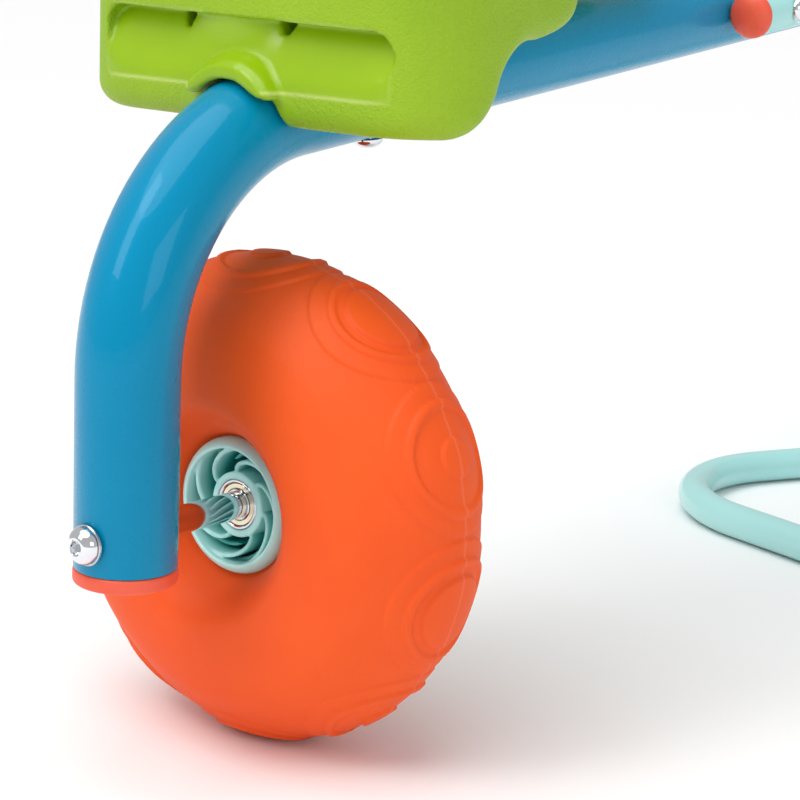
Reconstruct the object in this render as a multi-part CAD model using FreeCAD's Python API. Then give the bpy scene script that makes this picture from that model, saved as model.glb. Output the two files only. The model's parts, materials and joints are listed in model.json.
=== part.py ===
import FreeCAD, Part
import math
import os

os.makedirs("parts", exist_ok=True)

V = FreeCAD.Vector

# Rotating seesaw, in millimetres.
# Origin: on the floor, on the axis of the centre post.
# +X: along the beam towards end B.  +Z: up.  End A (at -X) is down, with its wheel on the floor.

# ---- driving dimensions ----
ARM = 770.0              # post axis to leg axis of end A, along the floor
PIVOT_Z = 350.0          # height of the tilt axis
CORNER_Z = 265.0         # height where the axes of leg A and of the beam cross
TILT = math.atan((PIVOT_Z - CORNER_Z) / ARM)   # slope of the beam with end A down

BEAM_R = 21.2            # outer radius of the blue tube
WALL = 2.0
BEND_R = 104.5           # centre-line radius of the bend above the wheel
LEG_END_Z = 94.0         # lower end of the blue tube of end A
TUBE_GAP = 24.0          # pivot axis to the inner end of each main tube
SEAT_HALF_W = 101.0

WHEEL_R = 107.0          # tyre radius on its middle plane, and height of the axle of end A
WHEEL_X = 87.0           # leg axis to the tyre's middle plane
TYRE_HALF_W = 44.0       # half width of the tyre
TYRE_RING_R = 52.0       # radius of the centre circle of the tyre's section
TYRE_SHOULDER = 27.0     # radial reach of the section from that circle towards the hub
TYRE_WALL = 4.0
HUB_R = 30.0             # drum of the hub, where the tyre sits
HUB_HALF_W = 27.0
BOSS_R = 14.3
VANES = 7
VANE_START = 32.0        # angle of the first vane at the boss, in degrees from +Y

AXLE_R = 4.0             # M8 axle bolt
FACE_X = 65.5            # leg axis to the outer face of the first bearing
BEARING_W = 7.0
BEARING_R = 11.0
RUN = 0.05               # radial running clearance
CLEAR = 0.4              # clearance between parts that only stand near each other

FOOT_R = 10.0            # floor tube
HANDLE_R = 11.0          # handle tube
POST_R = 25.0
SPINDLE_R = 19.0
YOKE_FLOOR_Z = 305.0     # top face of the yoke's bottom plate
YOKE_HALF_GAP = 44.0     # pivot axis middle to the inner face of a yoke ear
PLATE = 5.0
THRUST_T = 3.0
BUSH_FLANGE_T = 4.0
POST_TOP = YOKE_FLOOR_Z - PLATE - THRUST_T - BUSH_FLANGE_T   # the yoke turns on the washer and the bush
PIVOT_BOLT_R = 6.0

X_AXIS = V(1, 0, 0)
Y_AXIS = V(0, 1, 0)
Z_AXIS = V(0, 0, 1)
LEG_X = -ARM
PIVOT = V(0, 0, PIVOT_Z)
BEAM_DIR = V(math.cos(TILT), 0, math.sin(TILT))
BEAM_UP = V(-math.sin(TILT), 0, math.cos(TILT))
TANGENT = BEND_R * math.tan((math.pi / 2 - TILT) / 2)   # corner to each end of the bend


# ---- helpers ----
def rod(start, direction, radius, length):
    return Part.makeCylinder(radius, length, start, direction)


def ring(start, direction, outer, inner, length):
    return rod(start, direction, outer, length).cut(rod(start, direction, inner, length))


def dome(start, direction, radius, height):
    """A shallow spherical cap on a flat face."""
    sphere_r = (radius ** 2 + height ** 2) / (2 * height)
    unit = V(direction).normalize()
    ball = Part.makeSphere(sphere_r, start - unit * (sphere_r - height))
    return ball.common(rod(start, unit, radius, height))


def domed_plug(start, outward, radius, height, plug_r, plug_length):
    """A spherical cap with a plug behind it, turned about outward as one profile."""
    unit = V(outward).normalize()
    sphere_r = (radius ** 2 + height ** 2) / (2 * height)
    half = math.asin(radius / sphere_r) / 2
    middle = start + unit * (height - sphere_r * (1 - math.cos(half))) + Y_AXIS * (sphere_r * math.sin(half))
    apex = start + unit * height
    back = start - unit * plug_length
    edges = [
        Part.Arc(apex, middle, start + Y_AXIS * radius).toShape(),
        Part.LineSegment(start + Y_AXIS * radius, start + Y_AXIS * plug_r).toShape(),
        Part.LineSegment(start + Y_AXIS * plug_r, back + Y_AXIS * plug_r).toShape(),
        Part.LineSegment(back + Y_AXIS * plug_r, back).toShape(),
        Part.LineSegment(back, apex).toShape(),
    ]
    return Part.Face(Part.Wire(edges)).revolve(start, unit, 360)


def hexagon(start, direction, across_flats, height):
    """A hexagonal prism whose axis runs along direction."""
    unit = V(direction).normalize()
    side = unit.cross(Z_AXIS if abs(unit.z) < 0.9 else X_AXIS).normalize()
    other = unit.cross(side)
    corner_r = across_flats / math.sqrt(3)
    points = []
    for k in range(7):
        angle = math.radians(60 * k)
        points.append(start + side * (corner_r * math.cos(angle)) + other * (corner_r * math.sin(angle)))
    return Part.Face(Part.makePolygon(points)).extrude(unit * height)


def nut(start, direction, bolt_r, across_flats, height):
    return hexagon(start, direction, across_flats, height).cut(rod(start, direction, bolt_r + RUN, height))


def button_bolt(seat, inward, bolt_r, length, head_r, head_h):
    """A button-head bolt: its head stands outside seat, its shank runs inward."""
    unit = V(inward).normalize()
    head = dome(seat, unit * -1, head_r, head_h)
    socket = hexagon(seat - unit * (head_h + 1), unit, bolt_r * 1.25, head_h * 0.6 + 1)
    return head.fuse(rod(seat, unit, bolt_r, length)).cut(socket)


def bent_solid(points, radii, radius):
    """A round bar along straight runs joined by tangent arcs; radii has one entry per inner point."""
    pieces = []
    start = points[0]
    for k in range(1, len(points) - 1):
        before = (points[k] - points[k - 1]).normalize()
        after = (points[k + 1] - points[k]).normalize()
        turn = before.getAngle(after)
        reach = radii[k - 1] * math.tan(turn / 2)
        arc_start = points[k] - before * reach
        axis = before.cross(after).normalize()
        centre = arc_start + axis.cross(before) * radii[k - 1]
        if (arc_start - start).Length > 1e-6:
            pieces.append(rod(start, before, radius, (arc_start - start).Length))
        disc = Part.Face(Part.Wire(Part.makeCircle(radius, arc_start, before)))
        pieces.append(disc.revolve(centre, axis, math.degrees(turn)))
        start = points[k] + after * reach
    last = points[-1] - start
    pieces.append(rod(start, last, radius, last.Length))
    solid = pieces[0]
    for piece in pieces[1:]:
        solid = solid.fuse(piece)
    return solid.removeSplitter()


def bent_tube(points, radii, outer, wall):
    return bent_solid(points, radii, outer).cut(bent_solid(points, radii, outer - wall))


def beam_point(along, up=0.0, side=0.0):
    """A point given along the beam from the pivot, above its axis and to its +Y side."""
    return PIVOT + BEAM_DIR * along + BEAM_UP * up + Y_AXIS * side


def far_end(shape):
    """The same piece on end B: half a turn about the beam's own upright line through the pivot."""
    turned = shape.copy()
    turned.rotate(PIVOT, BEAM_UP, 180)
    return turned


def save(node, *solids):
    shape = solids[0] if len(solids) == 1 else Part.makeCompound(list(solids))
    shape.exportStep("parts/%s.step" % node)


def save_both(name, *solids):
    save(name + "_a", *solids)
    save(name + "_b", *[far_end(solid) for solid in solids])


# ---- base: post, floor loops, bushes ----
POST_HUB_R = 46.0
POST_HUB_H = 2 * FOOT_R
GUSSET_REACH = 18.0
GUSSET_TOP = 78.0
BUSH_FLANGE_R = 29.0
BUSH_LENGTH = 36.0
LOWER_BUSH_Z = 70.0
FOOT_CAP_T = 4.0


def post():
    tube = rod(V(0, 0, FOOT_CAP_T), Z_AXIS, POST_R, POST_TOP - FOOT_CAP_T)
    collar = rod(V(0, 0, 1.0), Z_AXIS, POST_HUB_R, POST_HUB_H - 1.0)
    body = tube.fuse(collar)
    for k in range(4):
        gusset = Part.Face(Part.makePolygon([
            V(POST_R - 1, 0, POST_HUB_H - 0.5),
            V(POST_R + GUSSET_REACH, 0, POST_HUB_H - 0.5),
            V(POST_R - 1, 0, GUSSET_TOP),
            V(POST_R - 1, 0, POST_HUB_H - 0.5),
        ])).extrude(V(0, PLATE, 0))
        gusset.translate(V(0, -PLATE / 2, 0))
        gusset.rotate(V(0, 0, 0), Z_AXIS, 90 * k)
        body = body.fuse(gusset)
    bore = rod(V(0, 0, -1), Z_AXIS, POST_R - WALL, POST_TOP + 2)
    return body.cut(bore).removeSplitter()


def foot_cap():
    plug = rod(V(0, 0, 0), Z_AXIS, POST_R - WALL, FOOT_CAP_T + 14)
    pocket = rod(V(0, 0, FOOT_CAP_T), Z_AXIS, POST_R - WALL - 3, 20)
    return plug.cut(pocket)


# A floor loop: out from the post, round a wide corner, across, round a tight corner and back.
WIDE_CORNER = V(-229, 115, FOOT_R)
TIGHT_CORNER = V(-318, -215, FOOT_R)
WIDE_BEND = 90.0
TIGHT_BEND = 45.0


def foot_loop(turn):
    out_dir = V(WIDE_CORNER.x, WIDE_CORNER.y, 0).normalize()
    back_dir = V(TIGHT_CORNER.x, TIGHT_CORNER.y, 0).normalize()
    start = out_dir * (POST_HUB_R - 2) + V(0, 0, FOOT_R)
    end = back_dir * (POST_HUB_R - 2) + V(0, 0, FOOT_R)
    loop = bent_tube([start, WIDE_CORNER, TIGHT_CORNER, end], [WIDE_BEND, TIGHT_BEND], FOOT_R, 1.5)
    loop = loop.cut(rod(V(0, 0, -1), Z_AXIS, POST_HUB_R, POST_HUB_H + 2))
    loop.rotate(V(0, 0, 0), Z_AXIS, turn)
    return loop


def post_bush(flange_z, flange_up):
    """A flanged bush between the post's bore and the spindle."""
    sleeve_z = flange_z - BUSH_LENGTH
    bush = rod(V(0, 0, sleeve_z), Z_AXIS, POST_R - WALL, BUSH_LENGTH)
    if flange_up:
        bush = bush.fuse(rod(V(0, 0, flange_z), Z_AXIS, BUSH_FLANGE_R, BUSH_FLANGE_T))
    return bush.cut(rod(V(0, 0, sleeve_z - 1), Z_AXIS, SPINDLE_R + RUN, BUSH_LENGTH + BUSH_FLANGE_T + 2))


save("post", post())
save("post_foot_cap", foot_cap())
for index in range(2):
    save("floor_loop_%d" % (index + 1), foot_loop(180 * index))
save("upper_post_bush", post_bush(POST_TOP, True))
save("lower_post_bush", post_bush(LOWER_BUSH_Z, False))


# ---- turntable: yoke with spindle, thrust washer, pivot bolt ----
YOKE_HALF_X = 38.0
EAR_R = 24.0
SPINDLE_BOTTOM = 32.0
RETAINER_R = 21.5


def yoke():
    plate_z = YOKE_FLOOR_Z - PLATE
    width = 2 * (YOKE_HALF_GAP + PLATE)
    plate = Part.makeBox(2 * YOKE_HALF_X, width, PLATE, V(-YOKE_HALF_X, -width / 2, plate_z))
    body = plate
    for side in (-1, 1):
        y0 = YOKE_HALF_GAP if side > 0 else -YOKE_HALF_GAP - PLATE
        ear = Part.makeBox(2 * EAR_R, PLATE, PIVOT_Z - plate_z, V(-EAR_R, y0, plate_z))
        ear = ear.fuse(rod(V(0, y0, PIVOT_Z), Y_AXIS, EAR_R, PLATE))
        body = body.fuse(ear)
    body = body.fuse(rod(V(0, 0, SPINDLE_BOTTOM), Z_AXIS, SPINDLE_R, plate_z - SPINDLE_BOTTOM + 1))
    body = body.cut(rod(V(0, 0, SPINDLE_BOTTOM - 1), Z_AXIS, SPINDLE_R - 3, plate_z - SPINDLE_BOTTOM - 8))
    body = body.cut(rod(V(0, -80, PIVOT_Z), Y_AXIS, PIVOT_BOLT_R + RUN, 160))
    return body.removeSplitter()


def thrust_washer():
    top = YOKE_FLOOR_Z - PLATE
    return ring(V(0, 0, top - THRUST_T), Z_AXIS, BUSH_FLANGE_R, SPINDLE_R + RUN, THRUST_T)


def spindle_retainer():
    """A collar and plug that stop the spindle from lifting out of the lower bush."""
    collar = rod(V(0, 0, SPINDLE_BOTTOM - 5), Z_AXIS, RETAINER_R, 5)
    plug = rod(V(0, 0, SPINDLE_BOTTOM - 1), Z_AXIS, SPINDLE_R - 3, 21)
    return collar.fuse(plug).removeSplitter()


PIVOT_HEAD_Y = YOKE_HALF_GAP + PLATE
save("yoke", yoke())
save("thrust_washer", thrust_washer())
save("spindle_retainer", spindle_retainer())
PIVOT_BOLT_LENGTH = 2 * PIVOT_HEAD_Y + 14
save("pivot_bolt", button_bolt(V(0, -PIVOT_HEAD_Y, PIVOT_Z), Y_AXIS, PIVOT_BOLT_R, PIVOT_BOLT_LENGTH, 12, 6))
save("pivot_nut", nut(V(0, PIVOT_HEAD_Y, PIVOT_Z), Y_AXIS, PIVOT_BOLT_R, 19, 11))

# ---- middle of the beam: sleeve, bushes, sleeve bolts ----
SLEEVE_R = 24.2
SLEEVE_HALF = 130.0
BARREL_R = 17.0
BARREL_HALF = 38.0
PIVOT_BUSH_R = 12.0
PIVOT_FLANGE_R = 20.0
PIVOT_FLANGE_T = 5.8
SLEEVE_BOLTS = (-105.0, -55.0, 55.0, 105.0)
SMALL_BOLT_R = 3.0


def centre_sleeve():
    body = rod(beam_point(-SLEEVE_HALF), BEAM_DIR, SLEEVE_R, 2 * SLEEVE_HALF)
    body = body.cut(rod(beam_point(-SLEEVE_HALF - 1), BEAM_DIR, BEAM_R + RUN, 2 * SLEEVE_HALF + 2))
    body = body.fuse(rod(beam_point(0, 0, -BARREL_HALF), Y_AXIS, BARREL_R, 2 * BARREL_HALF))
    body = body.cut(rod(beam_point(0, 0, -BARREL_HALF - 1), Y_AXIS, PIVOT_BUSH_R, 2 * BARREL_HALF + 2))
    for along in SLEEVE_BOLTS:
        body = body.cut(rod(beam_point(along, -40), BEAM_UP, SMALL_BOLT_R + RUN, 80))
    return body.removeSplitter()


def pivot_bush(side):
    """A flanged bush pressed into one end of the pivot barrel."""
    outward = Y_AXIS * side
    bush = rod(beam_point(0, 0, side * (BARREL_HALF - 24)), outward, PIVOT_BUSH_R, 24)
    bush = bush.fuse(rod(beam_point(0, 0, side * BARREL_HALF), outward, PIVOT_FLANGE_R, PIVOT_FLANGE_T))
    return bush.cut(rod(beam_point(0, 0, -80), Y_AXIS, PIVOT_BOLT_R + RUN, 160))


sleeve_bolts = []
sleeve_nuts = []
for along in SLEEVE_BOLTS:
    top = beam_point(along, SLEEVE_R)
    sleeve_bolts.append(button_bolt(top, BEAM_UP * -1, SMALL_BOLT_R, 2 * SLEEVE_R + 6, 5.5, 3.2))
    sleeve_nuts.append(nut(beam_point(along, -SLEEVE_R), BEAM_UP * -1, SMALL_BOLT_R, 10, 5))
save("centre_sleeve", centre_sleeve())
save("pivot_bushes", pivot_bush(-1), pivot_bush(1))
save("sleeve_bolts", *sleeve_bolts)
save("sleeve_nuts", *sleeve_nuts)

# ---- each end of the beam ----
BOLT_HEAD_R = 7.0
BOLT_HEAD_H = 4.4
WASHER_R = 8.5
WASHER_T = 1.5
SEAT_BOLTS = (-632.0, -572.0)      # along the beam from the pivot
HANDLE_BOLTS = (-329.0, -268.0)
HANDLE_FOOT = -358.0               # rear end of the handle tube
HANDLE_TOP = (-306.0, 190.0)       # along the beam and above it
HANDLE_GAP = 1.0                   # between the handle tube and the blue tube
HANDLE_SIDE = BEAM_R + HANDLE_R + HANDLE_GAP
CORNER = V(LEG_X, 0, CORNER_Z)


def main_tube():
    tube = bent_tube([V(LEG_X, 0, LEG_END_Z), CORNER, beam_point(-TUBE_GAP)], [BEND_R], BEAM_R, WALL)
    tube = tube.cut(rod(V(LEG_X - 40, 0, WHEEL_R), X_AXIS, AXLE_R + RUN, 80))
    for along in SEAT_BOLTS:
        tube = tube.cut(rod(beam_point(along, -40), BEAM_UP, AXLE_R + RUN, 80))
    for along in HANDLE_BOLTS:
        tube = tube.cut(rod(beam_point(along, 0, -40), Y_AXIS, AXLE_R + RUN, 80))
    for along in SLEEVE_BOLTS:
        if along < 0:
            tube = tube.cut(rod(beam_point(along, -40), BEAM_UP, SMALL_BOLT_R + RUN, 80))
    return tube


LEG_CAP_T = 6.5


def leg_cap():
    disc = rod(V(LEG_X, 0, LEG_END_Z - LEG_CAP_T), Z_AXIS, BEAM_R + 0.3, LEG_CAP_T)
    disc = disc.makeFillet(2.0, [disc.Edges[2]])
    plug = ring(V(LEG_X, 0, LEG_END_Z - 1), Z_AXIS, BEAM_R - WALL, BEAM_R - WALL - 3, 9)
    return disc.fuse(plug)


def seat_side():
    """Side outline of the seat: skirt behind, rising underside, nose, dished top, raised back."""
    def at(x, z):
        return V(LEG_X + x, -SEAT_HALF_W, z)
    return Part.Wire([
        Part.Arc(at(56, 280), at(59, 273), at(66, 270)).toShape(),
        Part.LineSegment(at(66, 270), at(84, 270)).toShape(),
        Part.Arc(at(84, 270), at(101, 278), at(109, 292)).toShape(),
        Part.Arc(at(109, 292), at(118, 305), at(134, 311)).toShape(),
        Part.LineSegment(at(134, 311), at(160, 316)).toShape(),
        Part.Arc(at(160, 316), at(184, 327), at(204, 333)).toShape(),
        Part.LineSegment(at(204, 333), at(330, 345)).toShape(),
        Part.Arc(at(330, 345), at(342, 357), at(330, 369)).toShape(),
        Part.Arc(at(330, 369), at(220, 362), at(112, 384)).toShape(),
        Part.Arc(at(112, 384), at(92, 402), at(76, 424)).toShape(),
        Part.Arc(at(76, 424), at(64, 430), at(56, 420)).toShape(),
        Part.LineSegment(at(56, 420), at(56, 280)).toShape(),
    ])


def seat_plan():
    """Plan outline of the seat: a wide block behind, a narrow nose in front."""
    def at(x, y):
        return V(LEG_X + x, y, 200)
    half = [
        Part.LineSegment(at(56, 0), at(56, 61)).toShape(),
        Part.Arc(at(56, 61), at(67.7, 89.3), at(96, SEAT_HALF_W)).toShape(),
        Part.LineSegment(at(96, SEAT_HALF_W), at(142, SEAT_HALF_W)).toShape(),
        Part.Arc(at(142, SEAT_HALF_W), at(164, 94), at(178, 78)).toShape(),
        Part.Arc(at(178, 78), at(200, 56), at(240, 46)).toShape(),
        Part.LineSegment(at(240, 46), at(315, 40)).toShape(),
        Part.Arc(at(315, 40), at(335, 28), at(342, 0)).toShape(),
    ]
    mirror = []
    for edge in half:
        mirror.append(edge.mirror(V(0, 0, 0), Y_AXIS))
    return Part.Wire(Part.__sortEdges__(half + mirror))


BRACKET_HALF_W = 20.0
BRACKET_T = 3.0
BRACKET_START = -706.0
BRACKET_END = -540.0
BRACKET_TOP = BEAM_R + BRACKET_T
KEEL_START = -680.0
KEEL_HALF_W = 17.0


def beam_box(start, end, low, high, half_width):
    """A box in the beam's own directions, from start to end along it."""
    outline = Part.makePolygon([
        beam_point(start, low, -half_width),
        beam_point(end, low, -half_width),
        beam_point(end, high, -half_width),
        beam_point(start, high, -half_width),
        beam_point(start, low, -half_width),
    ])
    return Part.Face(outline).extrude(Y_AXIS * (2 * half_width))


def seat():
    side = Part.Face(seat_side()).extrude(Y_AXIS * (2 * SEAT_HALF_W))
    plan = Part.Face(seat_plan()).extrude(Z_AXIS * 260)
    body = side.common(plan)
    keel = beam_box(KEEL_START, BRACKET_END, BRACKET_TOP + 0.1, BRACKET_TOP + 22, KEEL_HALF_W)
    body = body.fuse(keel)
    inner = Part.makeBox(76, 150, 30, V(LEG_X + 78, -75, 334))
    body = body.cut(inner)
    channel = beam_box(-740, -400, -60, BRACKET_TOP + 0.1, BEAM_R + CLEAR)
    body = body.cut(channel)
    body = body.cut(rod(V(LEG_X + 40, 0, 279), X_AXIS, BEAM_R + CLEAR, 60))
    for along in SEAT_BOLTS:
        body = body.cut(rod(beam_point(along, 0), BEAM_UP, AXLE_R + RUN, BRACKET_TOP + 14))
    return body


def seat_bracket():
    plate = beam_box(BRACKET_START, BRACKET_END, BEAM_R, BRACKET_TOP, BRACKET_HALF_W)
    for along in SEAT_BOLTS:
        plate = plate.cut(rod(beam_point(along, 0), BEAM_UP, AXLE_R + RUN, 60))
    return plate


def handle_points():
    """Centre line of the handle hoop, from the -Y foot over the top to the +Y foot."""
    foot = [(HANDLE_FOOT, 0, 1), (-238, 0, 1), (-268, 105, 1), HANDLE_TOP + (2.6,)]
    near = []
    far = []
    for along, up, spread in foot:
        near.append(beam_point(along, up, -HANDLE_SIDE * spread))
        far.append(beam_point(along, up, HANDLE_SIDE * spread))
    far.reverse()
    return near + far


HANDLE_BENDS = [34.0, 60.0, 24.0, 24.0, 60.0, 34.0]


def handle():
    hoop = bent_tube(handle_points(), HANDLE_BENDS, HANDLE_R, 1.5)
    for along in HANDLE_BOLTS:
        hoop = hoop.cut(rod(beam_point(along, 0, -70), Y_AXIS, AXLE_R + RUN, 140))
    return hoop


def handle_cap(side):
    start = beam_point(HANDLE_FOOT, 0, side * HANDLE_SIDE)
    return domed_plug(start, BEAM_DIR * -1, HANDLE_R + HANDLE_GAP - 0.1, 8, HANDLE_R - 1.5, 12)


GRIP_LENGTH = 36.0


def handle_grip(side):
    top = beam_point(*HANDLE_TOP)
    start = top + Y_AXIS * (side * 4)
    return ring(start, Y_AXIS * side, HANDLE_R + 3, HANDLE_R, GRIP_LENGTH)


def axle_nut():
    start = V(LEG_X + 2 * (WHEEL_X - FACE_X) + FACE_X, 0, WHEEL_R)
    washer = ring(start, X_AXIS, 7.5, AXLE_R + RUN, WASHER_T)
    return washer, nut(start + X_AXIS * WASHER_T, X_AXIS, AXLE_R, 13, 8)


AXLE = V(LEG_X, 0, WHEEL_R)
HEAD_FACE = AXLE - X_AXIS * (BEAM_R + WASHER_T)
INNER_FACE_X = 2 * WHEEL_X - FACE_X
AXLE_LENGTH = BEAM_R + WASHER_T + INNER_FACE_X + 14
RACE_IN = 5.5
RACE_OUT = 9.4


def button_head_at(point, inward, length):
    return button_bolt(point, inward, AXLE_R, length, BOLT_HEAD_R, BOLT_HEAD_H)


seat_bolts = []
for along in SEAT_BOLTS:
    seat_bolts.append(button_head_at(beam_point(along, -BEAM_R), BEAM_UP, 2 * BEAM_R + BRACKET_T + 12))
handle_bolts = []
handle_nuts = []
HANDLE_BOLT_Y = HANDLE_SIDE + HANDLE_R
for along in HANDLE_BOLTS:
    handle_bolts.append(button_head_at(beam_point(along, 0, -HANDLE_BOLT_Y), Y_AXIS, 2 * HANDLE_BOLT_Y + 8))
    handle_nuts.append(nut(beam_point(along, 0, HANDLE_BOLT_Y), Y_AXIS, AXLE_R, 13, 7))

save_both("main_tube", main_tube())
save_both("leg_cap", leg_cap())
save_both("seat", seat())
save_both("seat_bracket", seat_bracket())
save_both("seat_bolts", *seat_bolts)
save_both("handle", handle())
save_both("handle_caps", handle_cap(-1), handle_cap(1))
save_both("handle_grips", handle_grip(-1), handle_grip(1))
save_both("handle_bolts", *handle_bolts)
save_both("handle_nuts", *handle_nuts)
save_both("axle_bolt", button_head_at(HEAD_FACE, X_AXIS, AXLE_LENGTH))
save_both("axle_washer", ring(HEAD_FACE, X_AXIS, WASHER_R, AXLE_R + RUN, WASHER_T))
save_both("axle_sleeve", ring(AXLE + X_AXIS * BEAM_R, X_AXIS, 6.0, AXLE_R + RUN, FACE_X - BEAM_R))
save_both("axle_nut", *axle_nut())


# ---- wheels ----
def bearing_starts():
    return (AXLE + X_AXIS * FACE_X, AXLE + X_AXIS * (INNER_FACE_X - BEARING_W))


def outer_races():
    return [ring(start, X_AXIS, BEARING_R, RACE_OUT, BEARING_W) for start in bearing_starts()]


def inner_races():
    return [ring(start, X_AXIS, RACE_IN, AXLE_R + RUN, BEARING_W) for start in bearing_starts()]


def bearing_shields():
    shields = []
    for start in bearing_starts():
        for offset in (0.4, BEARING_W - 0.9):
            shields.append(ring(start + X_AXIS * offset, X_AXIS, RACE_OUT, RACE_IN + 0.1, 0.5))
    return shields


def bearing_balls():
    balls = []
    pitch_r = (RACE_IN + RACE_OUT) / 2
    for start in bearing_starts():
        for k in range(7):
            angle = 2 * math.pi * k / 7
            centre = start + V(BEARING_W / 2, pitch_r * math.cos(angle), pitch_r * math.sin(angle))
            balls.append(Part.makeSphere((RACE_OUT - RACE_IN) / 2 - RUN, centre))
    return balls


def tyre_section(radial, shoulder, half_width, inner_r):
    """Balloon section: tall towards the tread, a shallower shoulder towards the hub, cut flat at inner_r."""
    centre = AXLE + X_AXIS * WHEEL_X + Z_AXIS * TYRE_RING_R
    tread = Part.Ellipse(centre + Z_AXIS * radial, centre + X_AXIS * half_width, centre)
    flank = Part.Ellipse(centre + X_AXIS * half_width, centre + Z_AXIS * shoulder, centre)
    down = math.asin((TYRE_RING_R - inner_r) / shoulder)
    right = Part.ArcOfEllipse(flank, -down, 0).toShape()
    left = Part.ArcOfEllipse(flank, math.pi, math.pi + down).toShape()
    crown = Part.ArcOfEllipse(tread, -math.pi / 2, math.pi / 2).toShape()
    reach = half_width * math.cos(down)
    drop = Z_AXIS * (inner_r - TYRE_RING_R)
    base = Part.LineSegment(centre + drop - X_AXIS * reach, centre + drop + X_AXIS * reach).toShape()
    return Part.Face(Part.Wire(Part.__sortEdges__([crown, right, base, left])))


def tyre():
    radial = WHEEL_R - TYRE_RING_R
    outer = tyre_section(radial, TYRE_SHOULDER, TYRE_HALF_W, HUB_R)
    wall = TYRE_WALL
    inner = tyre_section(radial - wall, TYRE_SHOULDER - wall, TYRE_HALF_W - wall, HUB_R + wall)
    solid = outer.revolve(AXLE, X_AXIS, 360)
    return solid.cut(inner.revolve(AXLE, X_AXIS, 360))


def vane(angle):
    """One curved vane between boss and rim, as deep as the hub is wide."""
    inner_r = BOSS_R - 1
    outer_r = HUB_R - 3
    thick = 2.2
    sweep = math.radians(38)

    def at(radius, turn):
        return AXLE + V(WHEEL_X - HUB_HALF_W + 4, radius * math.cos(turn), radius * math.sin(turn))
    mid_r = (inner_r + outer_r) / 2
    lean = sweep * 0.38
    shift = thick / mid_r
    one = Part.Arc(at(inner_r, 0), at(mid_r, lean), at(outer_r, sweep)).toShape()
    two = Part.Arc(at(inner_r, shift * 1.4), at(mid_r, lean + shift), at(outer_r, sweep + shift)).toShape()
    cap_in = Part.LineSegment(at(inner_r, 0), at(inner_r, shift * 1.4)).toShape()
    cap_out = Part.LineSegment(at(outer_r, sweep), at(outer_r, sweep + shift)).toShape()
    face = Part.Face(Part.Wire(Part.__sortEdges__([one, cap_out, two, cap_in])))
    solid = face.extrude(X_AXIS * (2 * HUB_HALF_W - 8))
    solid.rotate(AXLE, X_AXIS, angle)
    return solid


def hub():
    start = AXLE + X_AXIS * (WHEEL_X - HUB_HALF_W)
    rim = ring(start, X_AXIS, HUB_R, HUB_R - 4, 2 * HUB_HALF_W)
    boss_start = AXLE + X_AXIS * (FACE_X - 0.5)
    boss_length = INNER_FACE_X - FACE_X + 1
    boss = rod(boss_start, X_AXIS, BOSS_R, boss_length)
    web = rod(AXLE + X_AXIS * (WHEEL_X - 2), X_AXIS, HUB_R - 2, 4)
    body = rim.fuse(boss).fuse(web)
    for k in range(VANES):
        body = body.fuse(vane(VANE_START + 360.0 * k / VANES))
    for bearing in bearing_starts():
        body = body.cut(rod(bearing, X_AXIS, BEARING_R, BEARING_W))
    body = body.cut(rod(AXLE + X_AXIS * (FACE_X - 2), X_AXIS, RACE_OUT - 0.4, boss_length + 4))
    body = body.cut(rod(AXLE + X_AXIS * (FACE_X - 2), X_AXIS, BEARING_R, 3))
    body = body.cut(rod(AXLE + X_AXIS * (INNER_FACE_X - 1), X_AXIS, BEARING_R, 3))
    return body.removeSplitter()


spacer_start = AXLE + X_AXIS * (FACE_X + BEARING_W)
spacer_length = INNER_FACE_X - FACE_X - 2 * BEARING_W
save_both("tyre", tyre())
save_both("hub", hub())
save_both("outer_races", *outer_races())
save_both("inner_races", *inner_races())
save_both("bearing_shields", *bearing_shields())
save_both("bearing_balls", *bearing_balls())
save_both("bearing_spacer", ring(spacer_start, X_AXIS, RACE_IN, AXLE_R + RUN, spacer_length))
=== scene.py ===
import json
import math
import bpy
import bmesh
import numpy as np
import openvdb
from mathutils import Matrix, Quaternion, Vector


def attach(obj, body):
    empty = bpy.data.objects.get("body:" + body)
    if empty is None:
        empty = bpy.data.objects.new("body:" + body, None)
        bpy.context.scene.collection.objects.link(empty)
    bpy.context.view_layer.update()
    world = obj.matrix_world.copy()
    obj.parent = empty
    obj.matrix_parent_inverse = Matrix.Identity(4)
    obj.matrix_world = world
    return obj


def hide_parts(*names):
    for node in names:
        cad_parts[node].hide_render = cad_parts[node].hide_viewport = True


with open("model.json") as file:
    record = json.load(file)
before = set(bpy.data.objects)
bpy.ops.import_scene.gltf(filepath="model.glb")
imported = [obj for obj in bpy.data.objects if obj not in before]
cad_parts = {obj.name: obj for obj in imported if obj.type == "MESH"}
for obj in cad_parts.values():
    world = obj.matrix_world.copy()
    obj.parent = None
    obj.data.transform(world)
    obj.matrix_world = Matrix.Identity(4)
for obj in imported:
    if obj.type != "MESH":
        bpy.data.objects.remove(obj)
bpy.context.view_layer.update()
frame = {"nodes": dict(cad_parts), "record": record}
MM = 0.001

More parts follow.
